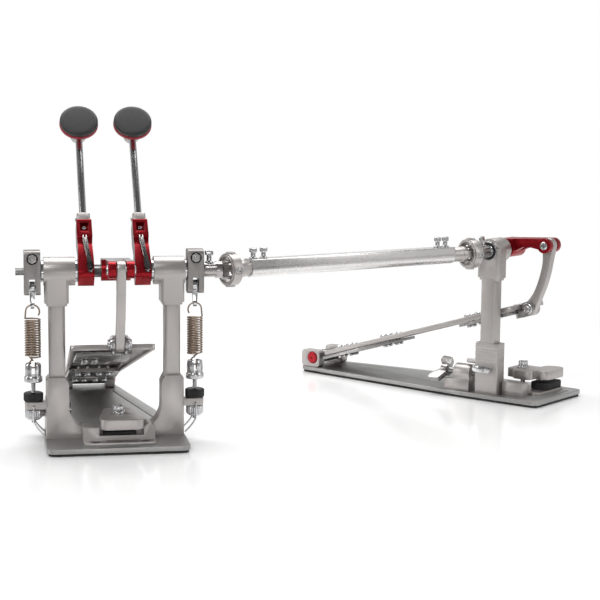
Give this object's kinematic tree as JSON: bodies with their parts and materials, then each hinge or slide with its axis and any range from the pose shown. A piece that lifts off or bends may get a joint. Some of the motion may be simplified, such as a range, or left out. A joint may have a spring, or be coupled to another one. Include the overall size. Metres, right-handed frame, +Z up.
{
  "type": "double bass drum pedal",
  "caption": "Direct-drive bass drum pedal with twin beaters, a drive shaft with universal joints and a second footboard pedal.",
  "frame": {"origin": "floor point midway between the main pedal's two posts", "axes": "+X to the player's right along the main axle, towards the second pedal; +Y back towards the heel; +Z up"},
  "size_m": [0.7182, 0.5261, 0.3669],
  "materials": {
    "silver": "bead-blasted satin, warm grey",
    "base": "dark satin anodised",
    "rubber": "matt black",
    "black": "black satin",
    "pad": "smooth black",
    "red": "red anodised satin",
    "rim": "crimson",
    "hub": "light grey, slightly translucent",
    "chrome": "polished",
    "dark_steel": "dark brushed",
    "spring": "bronze-brown"
  },
  "bodies": {
    "stand": {"main_base_plate": "base", "second_base_plate": "base", "rubber_soles": "rubber", "main_frame": "silver", "second_column": "silver", "posts": "silver", "left_bearing_housing": "silver", "right_bearing_housing": "silver", "second_bearing_housing": "silver", "ball_bearings": "black", "hinge_blocks": "silver", "hinge_pins": "red", "spring_rods": "chrome", "lock_nuts": "black", "return_springs": "spring", "hoop_clamp_bracket": "silver", "clamp_blocks": "silver", "clamp_pads": "rubber"},
    "main_axle_group": {"main_axle": "dark_steel", "left_rocker": "silver", "left_beater_holder": "red", "main_axle_fasteners": "chrome", "main_cam": "red"},
    "left_beater": {"left_beater_shaft": "chrome", "left_beater_hub": "hub", "left_beater_rim": "rim", "left_beater_pad": "pad"},
    "transfer_axle_group": {"transfer_axle": "dark_steel", "right_rocker": "silver", "right_beater_holder": "red", "transfer_axle_fasteners": "chrome"},
    "right_beater": {"right_beater_shaft": "chrome", "right_beater_hub": "hub", "right_beater_rim": "rim", "right_beater_pad": "pad"},
    "drive_shaft": {"drive_shaft_tube": "chrome", "drive_shaft_yokes": "silver", "universal_rings": "silver", "shaft_key_bolts": "chrome"},
    "second_axle_group": {"second_axle": "dark_steel", "second_cam": "red"},
    "main_pedal": {"main_footboard": "silver", "main_brackets": "dark_steel", "main_board_bolts": "chrome"},
    "second_pedal": {"second_footboard": "silver", "second_brackets": "dark_steel", "second_board_bolts": "chrome"},
    "main_pull_link": {"main_link": "silver"},
    "second_pull_link": {"second_link": "silver"},
    "left_spring_hanger": {"left_hanger": "chrome"},
    "right_spring_hanger": {"right_hanger": "chrome"},
    "left_nut": {"left_adjuster_nut": "chrome"},
    "right_nut": {"right_adjuster_nut": "chrome"},
    "hoop_jaw": {"hoop_clamp_jaw": "silver"},
    "hoop_bolt": {"hoop_clamp_bolt": "chrome"},
    "second_jaw": {"second_clamp_jaw": "silver"},
    "second_bolt": {"second_clamp_bolt": "chrome"},
    "main_wing": {"main_wing_bolt": "chrome"},
    "second_wing": {"second_wing_bolt": "chrome"},
    "key": {"drum_key": "chrome"}
  },
  "joints": [
    {"name": "main_axle_turn", "type": "hinge", "parent": "stand", "child": "main_axle_group", "pos_m": [0, 0, 0.19], "axis": [1, 0, 0], "range_deg": [0, 40], "stiffness_Nm_per_rad": 2, "springref_deg": -22.92},
    {"name": "left_beater_height", "type": "slide", "parent": "main_axle_group", "child": "left_beater", "axis": [0, 0.6626, 0.749], "range_m": [0, 0.03]},
    {"name": "second_axle_turn", "type": "hinge", "parent": "stand", "child": "second_axle_group", "pos_m": [0.4871, 0.1787, 0.19], "axis": [0.757, 0.6534, 0], "range_deg": [0, 40], "stiffness_Nm_per_rad": 2, "springref_deg": -22.92},
    {"name": "transfer_axle_turn", "type": "hinge", "parent": "stand", "child": "transfer_axle_group", "pos_m": [0, 0, 0.19], "axis": [1, 0, 0], "range_deg": [0, 40], "stiffness_Nm_per_rad": 2, "springref_deg": -22.92},
    {"name": "right_beater_height", "type": "slide", "parent": "transfer_axle_group", "child": "right_beater", "axis": [0, 0.6626, 0.749], "range_m": [0, 0.03]},
    {"name": "drive_shaft_turn", "type": "hinge", "parent": "stand", "child": "drive_shaft", "pos_m": [0.128, 0, 0.19], "axis": [0.911, 0.4124, 0], "range_deg": [0, 40]},
    {"name": "main_pedal_press", "type": "hinge", "parent": "stand", "child": "main_pedal", "pos_m": [0, 0.288, 0.021], "axis": [1, 0, 0], "range_deg": [0, 7.2]},
    {"name": "second_pedal_press", "type": "hinge", "parent": "stand", "child": "second_pedal", "pos_m": [0.29891, 0.39671, 0.021], "axis": [0.757, 0.6534, 0], "range_deg": [0, 7.2]},
    {"name": "main_link_swing", "type": "hinge", "parent": "main_axle_group", "child": "main_pull_link", "pos_m": [0.0035, -0.0524, 0.1966], "axis": [1, 0, 0], "range_deg": [-52, 0]},
    {"name": "second_link_swing", "type": "hinge", "parent": "second_axle_group", "child": "second_pull_link", "pos_m": [0.55919, 0.1717, 0.1966], "axis": [0.757, 0.6534, 0], "range_deg": [-52, 0]},
    {"name": "left_hanger_slide", "type": "slide", "parent": "stand", "child": "left_spring_hanger", "axis": [0, 0.9586, 0.2846], "range_m": [0, 0.012], "deforming": ["return_springs"]},
    {"name": "right_hanger_slide", "type": "slide", "parent": "stand", "child": "right_spring_hanger", "axis": [0, 0.9586, 0.2846], "range_m": [0, 0.012]},
    {"name": "left_nut_turn", "type": "hinge", "parent": "stand", "child": "left_nut", "pos_m": [-0.0885, 0, 0.034], "axis": [0, 0, 1], "continuous": true},
    {"name": "right_nut_turn", "type": "hinge", "parent": "stand", "child": "right_nut", "pos_m": [0.0885, 0, 0.034], "axis": [0, 0, 1], "continuous": true},
    {"name": "hoop_jaw_tilt", "type": "hinge", "parent": "stand", "child": "hoop_jaw", "pos_m": [0.002, 0.01, 0.025], "axis": [1, 0, 0], "range_deg": [-5, 0]},
    {"name": "hoop_bolt_lift", "type": "slide", "parent": "stand", "child": "hoop_bolt", "axis": [0, 0, 1], "range_m": [0, 0.0045]},
    {"name": "second_jaw_tilt", "type": "hinge", "parent": "stand", "child": "second_jaw", "pos_m": [0.5308, 0.21378, 0.025], "axis": [0.757, 0.6534, 0], "range_deg": [-5, 0]},
    {"name": "second_bolt_lift", "type": "slide", "parent": "stand", "child": "second_bolt", "axis": [0, 0, 1], "range_m": [0, 0.004]},
    {"name": "main_wing_turn", "type": "hinge", "parent": "stand", "child": "main_wing", "pos_m": [-0.075, 0.036, 0.031], "axis": [1, 0, 0], "continuous": true},
    {"name": "second_wing_turn", "type": "hinge", "parent": "stand", "child": "second_wing", "pos_m": [0.44757, 0.2245, 0.031], "axis": [0.6534, -0.757, 0], "continuous": true},
    {"name": "key_unclip", "type": "slide", "parent": "stand", "child": "key", "axis": [-0.757, -0.6534, 0], "range_m": [0, 0.03]}
  ],
  "couplings": [
    {"joint": "main_pedal_press", "follows": "main_axle_turn", "ratio": 0.17404},
    {"joint": "main_link_swing", "follows": "main_axle_turn", "ratio": -1.2608},
    {"joint": "left_hanger_slide", "follows": "main_axle_turn", "m_per_rad": 0.016669},
    {"joint": "second_pedal_press", "follows": "second_axle_turn", "ratio": 0.17404},
    {"joint": "second_link_swing", "follows": "second_axle_turn", "ratio": -1.2608},
    {"joint": "drive_shaft_turn", "follows": "second_axle_turn", "ratio": 1},
    {"joint": "transfer_axle_turn", "follows": "second_axle_turn", "ratio": 1},
    {"joint": "right_hanger_slide", "follows": "second_axle_turn", "m_per_rad": 0.016669},
    {"joint": "hoop_bolt_lift", "follows": "hoop_jaw_tilt", "m_per_rad": -0.045},
    {"joint": "second_bolt_lift", "follows": "second_jaw_tilt", "m_per_rad": -0.03}
  ]
}
